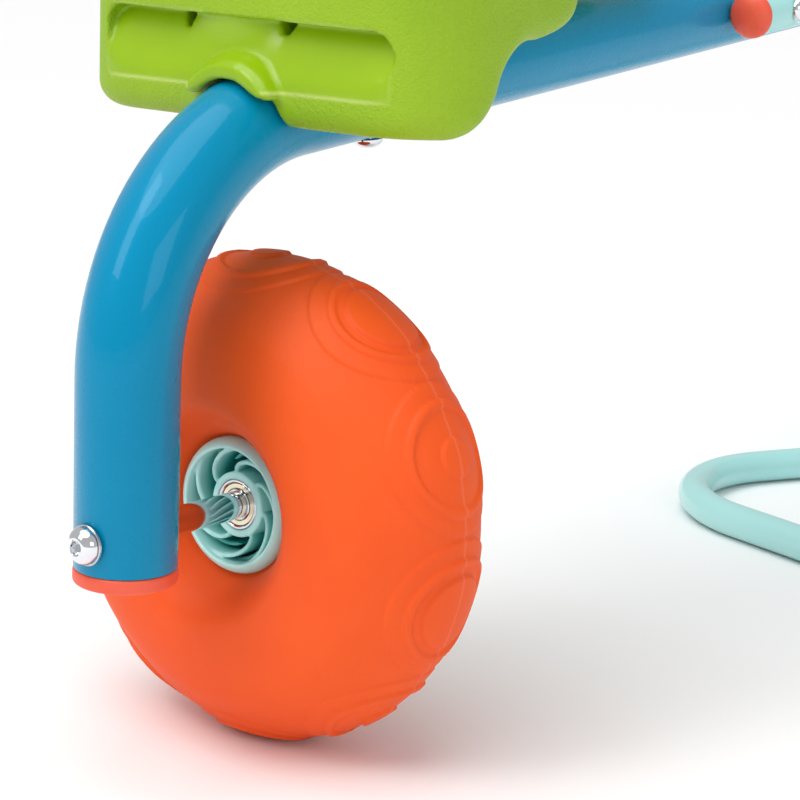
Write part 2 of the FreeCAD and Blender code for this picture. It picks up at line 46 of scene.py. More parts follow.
# Millimetre sizes shared with the CAD model. Each end is built in the frame of end A:
# x from the leg's axis, y sideways, z from the floor.
ARM, PIVOT_Z, CORNER_Z = 770.0, 350.0, 265.0
BEAM_R, WALL, BEND_R, LEG_END_Z, TUBE_GAP = 21.2, 2.0, 104.5, 94.0, 24.0
WHEEL_R, WHEEL_X, TYRE_HALF_W, TYRE_RING_R, TYRE_SHOULDER = 107.0, 87.0, 44.0, 52.0, 27.0
HUB_R, HUB_HALF_W, BOSS_R, VANES, VANE_START = 30.0, 27.0, 14.3, 7, 32.0
BEARING_X, BEARING_W, BEARING_R, INNER_FACE_X = 65.5, 7.0, 11.0, 108.5
BOLT_R, BORE_R, WASHER_T, NUT_ACROSS = 4.0, 4.1, 1.5, 13.0
HANDLE_R, HANDLE_SIDE, HANDLE_FOOT, HANDLE_TOP = 11.0, 33.2, -358.0, (-306.0, 190.0)
HANDLE_BENDS, HANDLE_BOLTS = [34, 60, 24, 24, 60, 34], (-329.0, -268.0)
SEAT_BOLTS = (-632.0, -572.0)
GRIP_LENGTH, GRIP_R = 36.0, 15.2
FOOT_R, FOOT_START_R, FOOT_BENDS = 10.0, 46.0, [90, 45]
FOOT_WIDE, FOOT_TIGHT = Vector((-229, 115, FOOT_R)), Vector((-318, -215, FOOT_R))
TUBE_WALL = 1.5
TILT = math.atan((PIVOT_Z - CORNER_Z) / ARM)
BEAM_DIR = Vector((math.cos(TILT), 0, math.sin(TILT)))
BEAM_UP = Vector((-math.sin(TILT), 0, math.cos(TILT)))
X, Y, Z = Vector((1, 0, 0)), Vector((0, 1, 0)), Vector((0, 0, 1))
AXLE = Vector((0, 0, WHEEL_R))
PIVOT = Vector((0, 0, PIVOT_Z * MM))
END_A = Matrix.Translation((-ARM * MM, 0, 0))
HALF_TURN = Matrix.Translation(PIVOT) @ Matrix.Rotation(math.pi, 4, BEAM_UP) @ Matrix.Translation(-PIVOT)
ENDS = {"a": END_A, "b": HALF_TURN @ END_A}


def beam_point(along, up=0.0, side=0.0):
    """A point given along, above and beside the beam's axis, from the pivot."""
    return Vector((ARM, 0, PIVOT_Z)) + BEAM_DIR * along + BEAM_UP * up + Y * side


# ---------------------------------------------------------------- materials
def node(tree, kind, **settings):
    made = tree.nodes.new(kind)
    for key, value in settings.items():
        setattr(made, key, value)
    return made


def noise(tree, place, scale, detail):
    made = node(tree, "ShaderNodeTexNoise", noise_dimensions="3D")
    made.inputs["Scale"].default_value = scale
    made.inputs["Detail"].default_value = detail
    tree.links.new(place, made.inputs["Vector"])
    return made.outputs["Fac"]


def remap(tree, source, low, high):
    """A value from 0 to 1 taken to the range from low to high."""
    made = node(tree, "ShaderNodeMapRange")
    made.inputs["To Min"].default_value = low
    made.inputs["To Max"].default_value = high
    tree.links.new(source, made.inputs["Value"])
    return made.outputs[0]


def linear(red, green, blue):
    """sRGB bytes as the linear colour that a shader takes."""
    out = []
    for value in (red, green, blue):
        part = value / 255.0
        out.append(part / 12.92 if part <= 0.04045 else ((part + 0.055) / 1.055) ** 2.4)
    return tuple(out) + (1.0,)


def two_tone(tree, place, light, dark, patch):
    """Colour that drifts between two tones in soft patches."""
    ramp = node(tree, "ShaderNodeValToRGB")
    low, high = ramp.color_ramp.elements
    low.position, low.color = 0.3, dark
    high.position, high.color = 0.7, light
    tree.links.new(noise(tree, place, patch, 4.0), ramp.inputs[0])
    return ramp.outputs[0]


def tinted(tree, colour, tint):
    """The colour turned to tint where the mesh's tint attribute says so."""
    where = node(tree, "ShaderNodeAttribute", attribute_name="tint")
    mix = node(tree, "ShaderNodeMix", data_type="RGBA")
    mix.inputs[7].default_value = tint
    tree.links.new(where.outputs["Fac"], mix.inputs[0])
    tree.links.new(colour, mix.inputs[6])
    return mix.outputs[2]


def bumped(tree, place, bumps, strength):
    """Bumps of (kind, scale, depth in metres), each on top of the one before."""
    normal = None
    for kind, scale, depth in bumps:
        if kind == "pebble":
            cells = node(tree, "ShaderNodeTexVoronoi", feature="SMOOTH_F1")
            cells.inputs["Scale"].default_value = scale
            tree.links.new(place, cells.inputs["Vector"])
            height = cells.outputs["Distance"]
        else:
            height = noise(tree, place, scale, 3.0)
        bump = node(tree, "ShaderNodeBump")
        bump.inputs["Distance"].default_value = depth
        tree.links.new(height, bump.inputs["Height"])
        if strength:
            tree.links.new(strength, bump.inputs["Strength"])
        if normal:
            tree.links.new(normal, bump.inputs["Normal"])
        normal = bump.outputs[0]
    return normal


def finish_of(name, light, dark, rough, patch, bumps, streak=None, polish=None, tint=None, **shader):
    """A principled material whose colour, roughness and bumps come from noise in the piece's own space.

    streak stretches the fine noise, polish scales the roughness where the mesh's smooth attribute is 1,
    and tint is the colour where its tint attribute is 1.
    """
    made = bpy.data.materials.new(name)
    made.use_nodes = True
    tree = made.node_tree
    tree.nodes.clear()
    output = node(tree, "ShaderNodeOutputMaterial")
    surface = node(tree, "ShaderNodeBsdfPrincipled")
    tree.links.new(surface.outputs[0], output.inputs[0])
    for key, value in shader.items():
        surface.inputs[key.replace("_", " ")].default_value = value
    place = node(tree, "ShaderNodeTexCoord").outputs["Object"]
    fine_place = place
    if streak:
        squeeze = node(tree, "ShaderNodeMapping")
        squeeze.inputs["Scale"].default_value = streak
        tree.links.new(place, squeeze.inputs["Vector"])
        fine_place = squeeze.outputs[0]
    colour = two_tone(tree, place, light, dark, patch)
    if tint:
        colour = tinted(tree, colour, tint)
    roughness = remap(tree, noise(tree, fine_place, 160.0, 6.0), *rough)
    strength = None
    if polish:
        smooth = node(tree, "ShaderNodeAttribute", attribute_name="smooth").outputs["Fac"]
        times = node(tree, "ShaderNodeMath", operation="MULTIPLY")
        tree.links.new(roughness, times.inputs[0])
        tree.links.new(remap(tree, smooth, 1.0, polish), times.inputs[1])
        roughness = times.outputs[0]
        strength = remap(tree, smooth, 1.0, 0.06)
    tree.links.new(colour, surface.inputs["Base Color"])
    tree.links.new(roughness, surface.inputs["Roughness"])
    if bumps:
        tree.links.new(bumped(tree, fine_place, bumps, strength), surface.inputs["Normal"])
    return made


MATERIALS = {
    "mint_paint": finish_of(
        "mint_powder_coat", linear(170, 224, 222), linear(160, 217, 214), (0.26, 0.34), 9.0,
        [("peel", 420.0, 0.00012)], Coat_Weight=0.55, Coat_Roughness=0.05),
    "blue_paint": finish_of(
        "blue_powder_coat", linear(0, 134, 175), linear(0, 128, 169), (0.24, 0.32), 9.0,
        [("peel", 380.0, 0.00010)], Specular_IOR_Level=0.25, Specular_Tint=(0.1, 0.7, 1.0, 1.0),
        Coat_Weight=0.26, Coat_Roughness=0.04),
    "orange_plastic": finish_of(
        "orange_moulded_cap", linear(236, 92, 62), linear(224, 82, 54), (0.42, 0.52), 60.0,
        [("grain", 1400.0, 0.00012), ("pebble", 900.0, 0.00006)],
        Subsurface_Weight=0.08, Subsurface_Scale=0.004),
    "lime_plastic": finish_of(
        "lime_moulded_seat", linear(146, 182, 14), linear(136, 174, 8), (0.42, 0.54), 18.0,
        [("pebble", 980.0, 0.00042), ("grain", 1900.0, 0.0002)], polish=0.5, tint=linear(214, 226, 140),
        Specular_IOR_Level=0.4, Subsurface_Weight=0.08, Subsurface_Scale=0.005),
    # the hub's tint is painted shade, a darker teal laid down between its vanes
    "mint_plastic": finish_of(
        "mint_moulded_hub", linear(190, 247, 244), linear(180, 241, 238), (0.34, 0.42), 50.0,
        [("grain", 900.0, 0.00006)], tint=linear(10, 176, 166),
        Subsurface_Weight=0.15, Subsurface_Scale=0.004),
    "orange_tyre": finish_of(
        "orange_soft_tyre", linear(238, 88, 20), linear(232, 80, 16), (0.52, 0.6), 16.0,
        [("grain", 1100.0, 0.00009), ("swell", 26.0, 0.0006)], tint=linear(240, 130, 96),
        Specular_IOR_Level=0.3),
    "bright_steel": finish_of(
        "bright_chrome", linear(232, 234, 238), linear(216, 219, 224), (0.05, 0.12), 90.0,
        [("brushed", 300.0, 0.00002)], streak=(0.15, 2.0, 2.0), Metallic=1.0),
    "zinc_steel": finish_of(
        "zinc_plated", linear(206, 209, 212), linear(180, 184, 188), (0.2, 0.34), 120.0,
        [("grain", 900.0, 0.00004)], Metallic=1.0),
    "bearing_steel": finish_of(
        "ground_bearing", linear(222, 222, 224), linear(198, 198, 202), (0.1, 0.2), 140.0,
        [("grain", 700.0, 0.00002)], Metallic=1.0),
    "brass_shield": finish_of(
        "pale_gold_shield", linear(226, 219, 194), linear(212, 204, 178), (0.2, 0.3), 140.0,
        [("grain", 900.0, 0.00003)], Metallic=1.0),
    "dark_plastic": finish_of(
        "dark_moulded", linear(52, 55, 58), linear(40, 43, 46), (0.45, 0.6), 60.0,
        [("grain", 900.0, 0.0001)]),
}


def finish_cad_nodes():
    """The CAD nodes get the material of their slot, because some of them stay visible."""
    slot_of = {part["node"]: part["material_slot"] for part in frame["record"]["subparts"]}
    for name, thing in frame["nodes"].items():
        if not thing.material_slots:
            thing.data.materials.append(None)
        for place in thing.material_slots:
            place.material = MATERIALS[slot_of[name]]


finish_cad_nodes()


# ---------------------------------------------------------------- mesh tools
def mesh_of(name, verts, faces, slot, sharp=40.0, tidy=True):
    """A smooth-shaded mesh in metres from millimetre points; edges steeper than sharp stay crisp."""
    made = bpy.data.meshes.new(name)
    made.from_pydata(np.asarray(verts, dtype=float) * MM, [], faces)
    made.validate()
    if tidy:
        work = bmesh.new()
        work.from_mesh(made)
        bmesh.ops.remove_doubles(work, verts=work.verts, dist=1e-6)
        bmesh.ops.recalc_face_normals(work, faces=work.faces)
        work.to_mesh(made)
        work.free()
    made.shade_smooth()
    if sharp:
        made.set_sharp_from_angle(angle=math.radians(sharp))
    made.materials.append(MATERIALS[slot])
    return made


def mark(mesh, name, values):
    """Stores one value per point, which the material reads by name."""
    made = mesh.attributes.new(name, "FLOAT", "POINT")
    made.data.foreach_set("value", np.ravel(values).astype(np.float32))


def put(mesh, place, body, node_name):
    """A piece that stands for the CAD node of that name and rides on the same body."""
    piece = bpy.data.objects.new(node_name + "_skin", mesh)
    bpy.context.scene.collection.objects.link(piece)
    piece.matrix_world = place
    bpy.context.view_layer.update()
    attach(piece, body)
    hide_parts(node_name)


def both_ends(name, mesh, body):
    """The same mesh on end A and on end B; a ? in body stands for the end's letter."""
    for end, place in ENDS.items():
        put(mesh, place, body.replace("?", end), "%s_%s" % (name, end))


def plain(name, shape, body, slot):
    """Points and faces as the same piece on both ends."""
    both_ends(name, mesh_of(name, *shape, slot), body)


def join(parts):
    """Several sets of points and faces as one."""
    verts, faces = [], []
    for more, loops in parts:
        first = len(verts)
        verts.extend(more)
        faces.extend([[first + k for k in loop] for loop in loops])
    return verts, faces


def soften(profile, radius, steps=6):
    """The profile with its inner corners rounded."""
    out = [profile[0]]
    for before, here, after in zip(profile, profile[1:], profile[2:]):
        a, p, b = Vector(before), Vector(here), Vector(after)
        reach = min(radius, 0.45 * (a - p).length, 0.45 * (b - p).length)
        first, last = p + (a - p).normalized() * reach, p + (b - p).normalized() * reach
        for k in range(steps + 1):
            t = k / steps
            out.append(tuple(first * (1 - t) ** 2 + p * (2 * t * (1 - t)) + last * t ** 2))
    return out + [profile[-1]]


def stack(rings, closed=False):
    """Faces between rings of points; a ring of one point is a tip."""
    verts, faces, rows = [], [], []
    for ring in rings:
        rows.append(list(range(len(verts), len(verts) + len(ring))))
        verts.extend(ring)
    pairs = list(zip(rows, rows[1:]))
    if closed:
        pairs.append((rows[-1], rows[0]))
    for low, high in pairs:
        count = max(len(low), len(high))
        for k in range(count):
            n = (k + 1) % count
            if len(low) == 1:
                faces.append([low[0], high[k], high[n]])
            elif len(high) == 1:
                faces.append([low[k], high[0], low[n]])
            else:
                faces.append([low[k], high[k], high[n], low[n]])
    return verts, faces


def turned(profile, base, axis, steps=96, closed=False):
    """A turned piece from (along, radius) pairs.

    A third value makes that ring a hexagon with flats at the radius and corners cut off at that value.
    """
    axis = Vector(axis).normalized()
    side = axis.cross(Z if abs(axis.z) < 0.9 else X).normalized()
    other = axis.cross(side)
    rings = []
    for along, radius, *corner in profile:
        centre = Vector(base) + axis * along
        if radius < 1e-6:
            rings.append([centre])
            continue
        ring = []
        for k in range(steps):
            angle = 2 * math.pi * k / steps
            reach = radius
            if corner:
                reach = min(corner[0], radius / math.cos((angle % (math.pi / 3)) - math.pi / 6))
            ring.append(centre + (side * math.cos(angle) + other * math.sin(angle)) * reach)
        rings.append(ring)
    return stack(rings, closed)


def annulus(base, axis, outer, inner, length, soft=0.4):
    """A ring with softened edges."""
    profile = [(soft, inner), (0, inner + soft), (0, outer - soft), (soft, outer), (length - soft, outer),
               (length, outer - soft), (length, inner + soft), (length - soft, inner)]
    return turned(profile, base, axis, closed=True)


def hex_nut(base, axis, height):
    """A hex nut with a countersunk bore and its corners chamfered at both faces."""
    flat = NUT_ACROSS / 2
    corner = flat / math.cos(math.pi / 6)
    profile = [(0.5, BORE_R), (0, BORE_R + 0.5), (0, flat, flat), (0.9, flat, corner),
               (height - 0.9, flat, corner), (height, flat, flat), (height, BORE_R + 0.5),
               (height - 0.5, BORE_R)]
    return turned(profile, base, axis, closed=True)


def button_head(base, outward, length, radius=7.0, height=4.4):
    """A button-head screw: a domed head with a hex socket outside base, and its shank behind."""
    profile = [(-length, 0), (-length, BOLT_R - 0.6), (-length + 0.6, BOLT_R), (0, BOLT_R), (0, radius - 0.5),
               (0.4, radius)]
    dome = math.acos(0.52)
    for k in range(1, 9):
        turn = k / 8 * dome
        profile.append((0.4 + (height - 0.4) * math.sin(turn) / math.sin(dome), radius * math.cos(turn)))
    socket = radius * 0.36
    profile += [(height, socket * 1.22), (height - 0.35, socket, math.inf), (height * 0.42, socket, math.inf),
                (height * 0.36, 0)]
    return turned(profile, base, outward, 72)


def centre_line(points, bends, turn_step=3.0, run_step=40.0):
    """Points and directions along straight runs joined by tangent arcs with the radii in bends."""
    spots, ways = [], []

    def run(start, end, way, with_end):
        length = (end - start).length
        count = max(1, int(length / run_step))
        for n in range(count + with_end):
            spots.append(start + way * (length * n / count))
            ways.append(way)
    points = [Vector(point) for point in points]
    start = points[0]
    for last, corner, following, radius in zip(points, points[1:], points[2:], bends):
        before = (corner - last).normalized()
        after = (following - corner).normalized()
        turn = before.angle(after)
        arc_start = corner - before * radius * math.tan(turn / 2)
        axis = before.cross(after).normalized()
        centre = arc_start + axis.cross(before) * radius
        run(start, arc_start, before, False)
        count = max(2, math.ceil(math.degrees(turn) / turn_step))
        for n in range(count):
            spin = Quaternion(axis, turn * n / count)
            spots.append(centre + spin @ (arc_start - centre))
            ways.append(spin @ before)
        start = centre + Quaternion(axis, turn) @ (arc_start - centre)
    run(start, points[-1], (points[-1] - start).normalized(), True)
    return spots, ways


def tube(points, bends, radius, wall, steps=64):
    """A bent tube with rounded lips, hollow at both ends as deep as can be seen."""
    spots, ways = centre_line(points, bends)
    side = ways[0].orthogonal().normalized()

    def ring(centre, way, reach):
        other = way.cross(side)
        out = []
        for k in range(steps):
            angle = 2 * math.pi * k / steps
            out.append(centre + (side * math.cos(angle) + other * math.sin(angle)) * reach)
        return out
    depth_seen = 14
    lip = [(depth_seen, radius - wall), (0.3, radius - wall), (0, radius - wall + 0.3), (0, radius - 0.5),
           (0.15, radius - 0.15)]
    first, way = spots[0], ways[0]
    rings = [[first + way * depth_seen]] + [ring(first + way * depth, way, reach) for depth, reach in lip]
    for k, (spot, way) in enumerate(zip(spots, ways)):
        if k:
            side = ways[k - 1].rotation_difference(way) @ side
        inward = 0.5 if k == 0 else (-0.5 if k == len(spots) - 1 else 0)
        rings.append(ring(spot + way * inward, way, radius))
    last = spots[-1]
    rings += [ring(last - way * depth, way, reach) for depth, reach in reversed(lip)]
    rings.append([last - way * depth_seen])
    return stack(rings)


# ---------------------------------------------------------------- distance fields
def outline_field(points, across, up):
    """Signed distance to a closed outline, negative inside."""
    nearest = np.full(np.broadcast(across, up).shape, 1e9)
    inside = np.zeros(nearest.shape, dtype=bool)
    for (x0, y0), (x1, y1) in zip(points, points[1:] + points[:1]):
        ex, ey = x1 - x0, y1 - y0
        if ex == 0 and ey == 0:
            continue
        t = np.clip(((across - x0) * ex + (up - y0) * ey) / (ex * ex + ey * ey), 0, 1)
        nearest = np.minimum(nearest, (across - x0 - ex * t) ** 2 + (up - y0 - ey * t) ** 2)
        if y0 != y1:
            crosses = (np.minimum(y0, y1) <= up) & (up < np.maximum(y0, y1))
            inside ^= crosses & (across < x0 + (up - y0) * ex / ey)
    return np.where(inside, -1.0, 1.0) * np.sqrt(nearest)


def both_of(a, b, r):
    """The part inside a and b, with edges rounded to r."""
    return np.minimum(np.maximum(a, b), -r) + np.sqrt(np.maximum(a + r, 0) ** 2 + np.maximum(b + r, 0) ** 2)


def either(a, b, r):
    """The part inside a or b, with inner corners filled to r."""
    return -both_of(-a, -b, r)


def arc(first, middle, last, steps=10):
    """Points on the circle through three points, without the last one."""
    (ax, ay), (bx, by), (cx, cy) = first, middle, last
    aa, bb, cc = ax ** 2 + ay ** 2, bx ** 2 + by ** 2, cx ** 2 + cy ** 2
    d = 2 * (ax * (by - cy) + bx * (cy - ay) + cx * (ay - by))
    ux = (aa * (by - cy) + bb * (cy - ay) + cc * (ay - by)) / d
    uy = (aa * (cx - bx) + bb * (ax - cx) + cc * (bx - ax)) / d
    radius = math.hypot(ax - ux, ay - uy)
    turn = [math.atan2(y - uy, x - ux) for x, y in (first, middle, last)]
    span = (turn[2] - turn[0]) % (2 * math.pi)
    if (turn[1] - turn[0]) % (2 * math.pi) > span:
        span -= 2 * math.pi
    out = []
    for k in range(steps):
        angle = turn[0] + span * k / steps
        out.append((ux + radius * math.cos(angle), uy + radius * math.sin(angle)))
    return out


def skin_of(name, field, low, step, slot):
    """The zero surface of a field as a mesh in metres, with its points in millimetres."""
    grid = openvdb.FloatGrid()
    grid.copyFromArray(np.ascontiguousarray(np.clip(field, -4 * step, 4 * step), dtype=np.float32))
    points, quads = grid.convertToQuads(0.0)
    verts = np.array(low) + points * step
    return mesh_of(name, verts, quads[:, ::-1].tolist(), slot, sharp=0, tidy=False), verts


# ---------------------------------------------------------------- the beam's tubes and caps
def main_tube():
    route = [(0, 0, LEG_END_Z), (0, 0, CORNER_Z), beam_point(-TUBE_GAP)]
    return tube(route, [BEND_R], BEAM_R, WALL, 96)


def leg_cap():
    """A plug in the leg's lower end with a rounded rim."""
    rim = BEAM_R + 0.3
    plug_r = BEAM_R - WALL - 0.2
    outside = soften([(0, BEAM_R - 4), (0, rim), (6.5, rim), (6.5, 0)], 2.4)
    return turned([(-8, 0), (-8, plug_r), (0, plug_r)] + outside, (0, 0, LEG_END_Z), -Z)


plain("main_tube", main_tube(), "beam", "blue_paint")
plain("leg_cap", leg_cap(), "beam", "orange_plastic")

# ---------------------------------------------------------------- tyre
TYRE_STEPS = 720
MEDALLIONS = 10
FIRST_MEDALLION = math.radians(16.0)
TREAD_DROP = 1.5


def section_turns():
    """Where the tyre's section has points: close together on the tread, wider apart down to the hub."""
    limit = math.acos(-(TYRE_RING_R - HUB_R - 1.0) / TYRE_SHOULDER)
    tread = math.radians(50)
    half = [tread * k / 60 for k in range(1, 61)]
    half += [tread + (limit - tread) * k / 34 for k in range(1, 35)]
    return [-turn for turn in reversed(half)] + [0.0] + half


def section_point(turn):
    """Sideways offset and radius of the tyre's section at turn, which is 0 on the tread's crown."""
    tall = WHEEL_R - TYRE_RING_R if math.cos(turn) > 0 else TYRE_SHOULDER
    tuck = 1 - 0.2 * max(0.0, (abs(turn) - 1.75) / 0.71) ** 1.5
    return TYRE_HALF_W * tuck * math.sin(turn), TYRE_RING_R + tall * math.cos(turn)


def relief(around, across, odd):
    """Height of the round medallions; around and across are arc lengths from the nearest one's middle."""
    reach = np.hypot(around, across)

    def plateau(edge, soft=0.9):
        t = np.clip((edge + soft / 2 - reach) / soft, 0, 1)
        return t * t * (3 - 2 * t)
    band = plateau(24.8, 1.0) - plateau(21.2, 1.0)
    middle = np.where(odd, plateau(17.0, 1.0), plateau(8.3))
    return 0.85 * plateau(32.8, 0.7) + 1.3 * band + 1.25 * middle


def tyre():
    section = np.array([section_point(turn) for turn in section_turns()])
    slope = np.gradient(section, axis=0)
    slope /= np.linalg.norm(slope, axis=1)[:, None]
    out = np.stack([-slope[:, 1], slope[:, 0]], axis=1)
    out *= np.sign((out * (section - np.array([0, TYRE_RING_R]))).sum(1))[:, None]
    along = np.concatenate([[0], np.cumsum(np.linalg.norm(np.diff(section, axis=0), axis=1))])
    along -= along[len(section) // 2]
    angle = 2 * np.pi * np.arange(TYRE_STEPS)[:, None] / TYRE_STEPS
    spacing = 2 * np.pi / MEDALLIONS
    which = np.round((angle - FIRST_MEDALLION) / spacing)
    around = (angle - FIRST_MEDALLION - which * spacing) * WHEEL_R
    # the tread itself lies lower, so that the medallions' tops come to about the wheel's radius
    drop = TREAD_DROP * np.clip((48 - np.abs(along)) / 14, 0, 1)
    raised = relief(around, along, which % 2 == 1) - drop
    wide = section[:, 0] + out[:, 0] * raised
    radius = section[:, 1] + out[:, 1] * raised
    # the inner edges turn in along the hub: (distance inward, radius)
    lip = np.array([(0.8, HUB_R - 0.1), (4.0, HUB_R - 0.6), (12.0, HUB_R - 0.6)])
    column = np.ones((TYRE_STEPS, 1))
    wide = np.hstack([column * (section[0, 0] + lip[::-1, 0]), wide, column * (section[-1, 0] - lip[:, 0])])
    radius = np.hstack([column * lip[::-1, 1], radius, column * lip[:, 1]])
    points = np.stack([WHEEL_X + wide, radius * np.cos(angle), WHEEL_R + radius * np.sin(angle)], axis=2)
    mesh = mesh_of("tyre", *stack(points, closed=True), "orange_tyre", sharp=0, tidy=False)
    # a fine mould line round the crown
    wiggle = 0.15 * np.sin(angle * 23) + 0.1 * np.sin(angle * 61 + 1.3)
    mark(mesh, "tint", 0.5 * np.clip(0.85 - np.abs(wide - wiggle), 0, 1) * (radius > 90))
    return mesh


both_ends("tyre", tyre(), "wheel_?")

# ---------------------------------------------------------------- hub
RIM_INNER_R = 25.0
VANE_SWEEP = math.radians(62.0)


def hub():
    """A moulded hub: rim, boss, web in the middle plane, and swept vanes on both sides of it."""
    step = 0.5
    low = (WHEEL_X - HUB_HALF_W - 1.5, -HUB_R - 1.5, -HUB_R - 1.5)
    wide, tall = int((2 * HUB_HALF_W + 3) / step) + 1, int((2 * HUB_R + 3) / step) + 1
    x, y, z = np.ogrid[0:wide, 0:tall, 0:tall]
    deep = np.abs(low[0] + x * step - WHEEL_X)
    y, z = low[1] + y * step, low[2] + z * step
    r = np.hypot(y, z)
    angle = np.arctan2(z, y)
    rim = both_of(both_of(r - HUB_R, deep - HUB_HALF_W, 6.0), RIM_INNER_R - r, 1.3)
    boss = both_of(r - BOSS_R, deep - (WHEEL_X - BEARING_X + 0.3), 0.9)
    web = np.maximum(r - 27.0, deep - 2.0)
    body = either(either(rim, boss, 0.1), web, 1.5)
    gap = 2 * np.pi / VANES
    room = RIM_INNER_R + 0.5 - BOSS_R
    part = np.clip((r - BOSS_R) / room, 0, 1.1)
    steep = np.sqrt(1 + (r * VANE_SWEEP * 1.7 * part ** 0.7 / room) ** 2)
    whole, partial = (VANE_START, BOSS_R - 1, 0.0, 2.0), (VANE_START + 26.0, 19.0, 6.0, 1.6)
    for start, first_r, drop, thick in (whole, partial):
        lean = angle - math.radians(start) - VANE_SWEEP * part ** 1.7
        lean = (lean + gap / 2) % gap - gap / 2
        vane = np.abs(lean) * r / steep - thick / 2
        vane = both_of(vane, deep - (20.8 + 4.0 * part - drop), 0.85)
        vane = np.maximum(np.maximum(vane, r - 26.5), first_r - r)
        body = either(body, vane, 0.7)
    seats = np.maximum(r - (BEARING_R + 0.1), (WHEEL_X - BEARING_X - BEARING_W) - deep)
    body = np.maximum(body, -seats)
    body = np.maximum(body, 9.0 - r)
    mesh, verts = skin_of("hub", body, (low[0], low[1], low[2] + WHEEL_R), step, "mint_plastic")
    # painted shade: the plastic is tinted a darker, deeper teal down between the vanes, more so the deeper
    # the pocket, where shade falls
    depth = HUB_HALF_W - np.abs(verts[:, 0] - WHEEL_X)
    reach = np.hypot(verts[:, 1], verts[:, 2] - WHEEL_R)
    between = (reach < RIM_INNER_R + 0.4) * (reach > BOSS_R + 0.3)
    mark(mesh, "tint", 0.9 * np.clip((depth - 3.0) / 9.0, 0, 1) * between)
    return mesh


both_ends("hub", hub(), "wheel_?")


# ---------------------------------------------------------------- axle, bearings, nuts
def bearing_rings():
    """Outer races, inner races and shields of both bearings, from their faces inward."""
    races, inner, shields = [], [], []
    for face, way in ((BEARING_X, X), (INNER_FACE_X, -X)):
        at = AXLE + X * face
        races.append(annulus(at, way, BEARING_R, 9.5, BEARING_W, 0.45))
        inner.append(annulus(at, way, 6.9, BORE_R, BEARING_W))
        shields.append(annulus(at + way * 0.55, way, 9.15, 7.15, 0.6, 0.12))
    return join(races), join(inner), join(shields)


def axle_nut():
    """A lock nut on its washer, behind the far bearing."""
    washer = annulus(AXLE + X * INNER_FACE_X, X, 7.5, BORE_R, WASHER_T, 0.3)
    return join([washer, hex_nut(AXLE + X * (INNER_FACE_X + WASHER_T), X, 8)])


outer_races, inner_races, bearing_shields = bearing_rings()
HEAD_SEAT = AXLE - X * (BEAM_R + WASHER_T)
AXLE_LENGTH = BEAM_R + INNER_FACE_X + 15.5
plain("outer_races", outer_races, "wheel_?", "bearing_steel")
plain("inner_races", inner_races, "beam", "bearing_steel")
plain("bearing_shields", bearing_shields, "wheel_?", "brass_shield")
axle_sleeve = annulus(AXLE + X * BEAM_R, X, 6.0, BORE_R, BEARING_X - BEAM_R, 0.5)
axle_washer = annulus(HEAD_SEAT, X, 8.5, BORE_R, WASHER_T, 0.35)
plain("axle_sleeve", axle_sleeve, "beam", "bright_steel")
plain("axle_washer", axle_washer, "beam", "zinc_steel")
plain("axle_bolt", button_head(HEAD_SEAT, -X, AXLE_LENGTH, 7.8, 5.2), "beam", "bright_steel")
plain("axle_nut", axle_nut(), "beam", "zinc_steel")


# ---------------------------------------------------------------- seat
def seat_side():
    """The seat from the side, as (x, z): underside from the end face to the nose, then back over the top."""
    side = arc((56, 280), (59, 273), (66, 270)) + [(66, 270)] + arc((84, 270), (101, 278), (109, 292))
    side += arc((109, 292), (118, 303), (136, 308)) + [(136, 308)] + arc((160, 313), (184, 326), (204, 333))
    side += [(204, 333)] + arc((330, 345), (342, 357), (330, 369)) + arc((330, 369), (220, 362), (112, 384))
    side += arc((112, 384), (92, 402), (76, 424)) + arc((76, 424), (64, 430), (56, 420)) + [(56, 420)]
    return side


def seat_plan():
    """The seat from above, as (x, y): wide at the end face and narrow between the rider's legs."""
    half = [(56, 0), (56, 61)] + arc((56, 61), (67.7, 89.3), (96, 101)) + [(96, 101)]
    half += arc((142, 101), (164, 94), (178, 78)) + arc((178, 78), (200, 56), (240, 46)) + [(240, 46)]
    half += arc((315, 40), (335, 28), (342, 0))
    return half + [(px, -py) for px, py in reversed(half) if py > 0]


def recess_outline():
    """The hand recess on the seat's end face, as (y, z)."""
    left = arc((70, 314), (76.5, 311), (78, 303)) + [(78, 303), (78, 290)]
    left += arc((78, 290), (77, 285.5), (72, 284))
    right = [(-68, 284), (-78, 284.5)] + [(-79, 300)] + arc((-79, 300), (-76, 308.5), (-66, 311.5))
    return left + [(72, 284)] + right + [(-66, 311.5)]


def tube_room(x, y, z):
    """Distance from the bent tube's channel, negative in the channel."""
    bend_x, bend_z = BEND_R, CORNER_Z - BEND_R * math.tan((math.pi / 2 - TILT) / 2)
    ahead = (x - bend_x) * math.cos(TILT) + (z - bend_z) * math.sin(TILT)
    above = -(x - bend_x) * math.sin(TILT) + (z - bend_z) * math.cos(TILT) - BEND_R
    above = np.where(ahead > 0, above, np.hypot(x - bend_x, z - bend_z) - BEND_R)
    return np.where(above > 0, np.hypot(above, y), np.abs(y)) - (BEAM_R + 1.8)


def hand_recess(x, y, z):
    """The recess in the end face: its floor leans back towards the top, under a lip with two pockets."""
    rise = np.clip((z - 284.0) / 30.0, 0, 1)
    lens = np.clip(1 - ((y - 8.0) / 27.0) ** 2, 0, 1)
    bulge = 1 - 0.62 * lens * np.clip(rise * 1.6 - 0.4, 0, 1)
    back = 57.0 + (0.6 + 13.0 * rise ** 1.15) * bulge
    recess = both_of(x - back, outline_field(recess_outline(), y, z), 1.6)
    for middle in (35.0, -19.0):
        width = np.abs(y - middle) - 4.0 + 0.5 * np.abs(z - 312)
        recess = np.minimum(recess, np.maximum(np.maximum(width, np.abs(z - 309.5) - 3), x - 82))
    return recess


